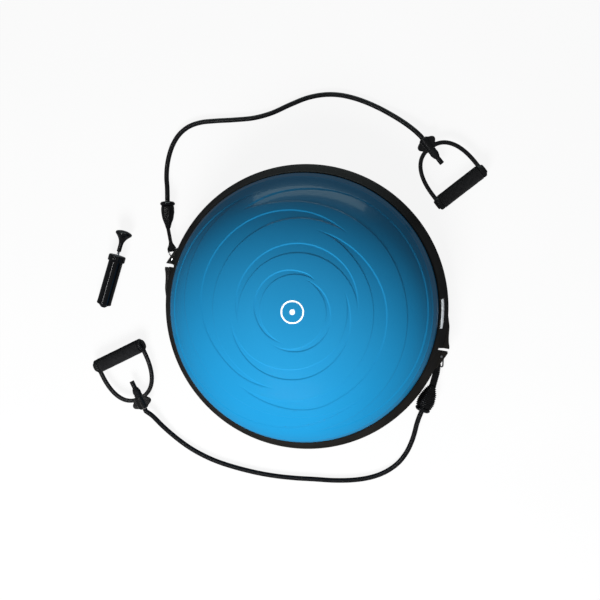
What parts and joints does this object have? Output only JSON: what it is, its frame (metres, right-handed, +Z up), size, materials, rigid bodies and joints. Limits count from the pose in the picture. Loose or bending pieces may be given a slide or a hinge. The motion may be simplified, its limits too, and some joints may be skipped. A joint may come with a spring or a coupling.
{
  "type": "balance dome trainer",
  "caption": "Inflatable balance dome on a round platform, with an elastic cord and D-handle hooked to each side ear, and a hand pump.",
  "frame": {"origin": "centre of the platform's pad where it meets the floor", "axes": "+Z up out of the dome; the two ears lie on -X and +X; the pump lies on the -X side"},
  "size_m": [0.7417, 0.8172, 0.215],
  "materials": {
    "platform_plastic": "fine grained satin",
    "dome_pvc": "glossy elastic PVC",
    "rubber": "matte",
    "rubber_tube": "satin latex",
    "gloss_black": "glossy",
    "satin_black": "satin",
    "foam": "matte closed-cell foam",
    "webbing": "woven",
    "steel": "bright",
    "label_white": "blank printed film"
  },
  "bodies": {
    "base": {"platform": "platform_plastic", "clamp_ring": "platform_plastic", "dome_skin": "dome_pvc", "clamp_screw_1": "steel", "clamp_screw_2": "steel", "clamp_screw_3": "steel", "clamp_screw_4": "steel", "clamp_screw_5": "steel", "clamp_screw_6": "steel", "clamp_screw_7": "steel", "clamp_screw_8": "steel", "foot_1": "rubber", "foot_2": "rubber", "foot_3": "rubber", "foot_4": "rubber", "foot_5": "rubber", "foot_6": "rubber", "centre_pad": "rubber", "valve_seat": "rubber", "blank_label": "label_white", "anchor_pin_left": "steel", "anchor_pin_right": "steel"},
    "valve_plug": {"valve_plug": "gloss_black"},
    "ring_left": {"ring_left": "steel"},
    "cord_left": {"strap_left": "webbing", "bulb_left": "gloss_black", "collar_left": "gloss_black", "tube_left": "rubber_tube", "yoke_left": "satin_black", "stopper_left": "rubber", "tube_end_left": "rubber_tube"},
    "grip_left": {"grip_foam_left": "foam", "grip_core_left": "satin_black", "grip_plug_left_1": "satin_black", "grip_plug_left_2": "satin_black"},
    "ring_right": {"ring_right": "steel"},
    "cord_right": {"strap_right": "webbing", "bulb_right": "gloss_black", "collar_right": "gloss_black", "tube_right": "rubber_tube", "yoke_right": "satin_black", "stopper_right": "rubber", "tube_end_right": "rubber_tube"},
    "grip_right": {"grip_foam_right": "foam", "grip_core_right": "satin_black", "grip_plug_right_1": "satin_black", "grip_plug_right_2": "satin_black"},
    "pump": {"pump_barrel": "gloss_black", "pump_nozzle": "satin_black", "pump_cap": "satin_black"},
    "pump_plunger": {"pump_piston": "satin_black", "pump_seal": "rubber", "pump_rod": "steel", "pump_handle": "gloss_black"}
  },
  "joints": [
    {"name": "left_ring_swing", "type": "hinge", "parent": "base", "child": "ring_left", "pos_m": [-0.293, 0.012, 0.0165], "axis": [0, 0, 1], "range_deg": [0, 38]},
    {"name": "left_cord_lift", "type": "hinge", "parent": "ring_left", "child": "cord_left", "pos_m": [-0.30562, 0.03002, 0.0165], "axis": [0.9135, 0.4067, 0], "range_deg": [0, 45]},
    {"name": "left_grip_spin", "type": "hinge", "parent": "cord_left", "child": "grip_left", "pos_m": [0.22771, 0.32336, 0.0152], "axis": [0.5764, 0.8171, 0], "continuous": true},
    {"name": "right_ring_swing", "type": "hinge", "parent": "base", "child": "ring_right", "pos_m": [0.293, -0.012, 0.0165], "axis": [0, 0, 1], "range_deg": [0, 60]},
    {"name": "right_cord_lift", "type": "hinge", "parent": "ring_right", "child": "cord_right", "pos_m": [0.293, -0.034, 0.0165], "axis": [-1, 0, 0], "range_deg": [0, 45]},
    {"name": "right_grip_spin", "type": "hinge", "parent": "cord_right", "child": "grip_right", "pos_m": [-0.3512, -0.21986, 0.0152], "axis": [-0.7314, -0.682, 0], "continuous": true},
    {"name": "valve_plug_pull", "type": "slide", "parent": "base", "child": "valve_plug", "axis": [0, 0, -1], "range_m": [0, 0.007]},
    {"name": "pump_lift", "type": "slide", "parent": "base", "child": "pump", "axis": [0, 0, 1], "range_m": [0, 0.15]},
    {"name": "pump_plunger_slide", "type": "slide", "parent": "pump", "child": "pump_plunger", "axis": [0, 1, 0], "range_m": [-0.007, 0.078]}
  ]
}
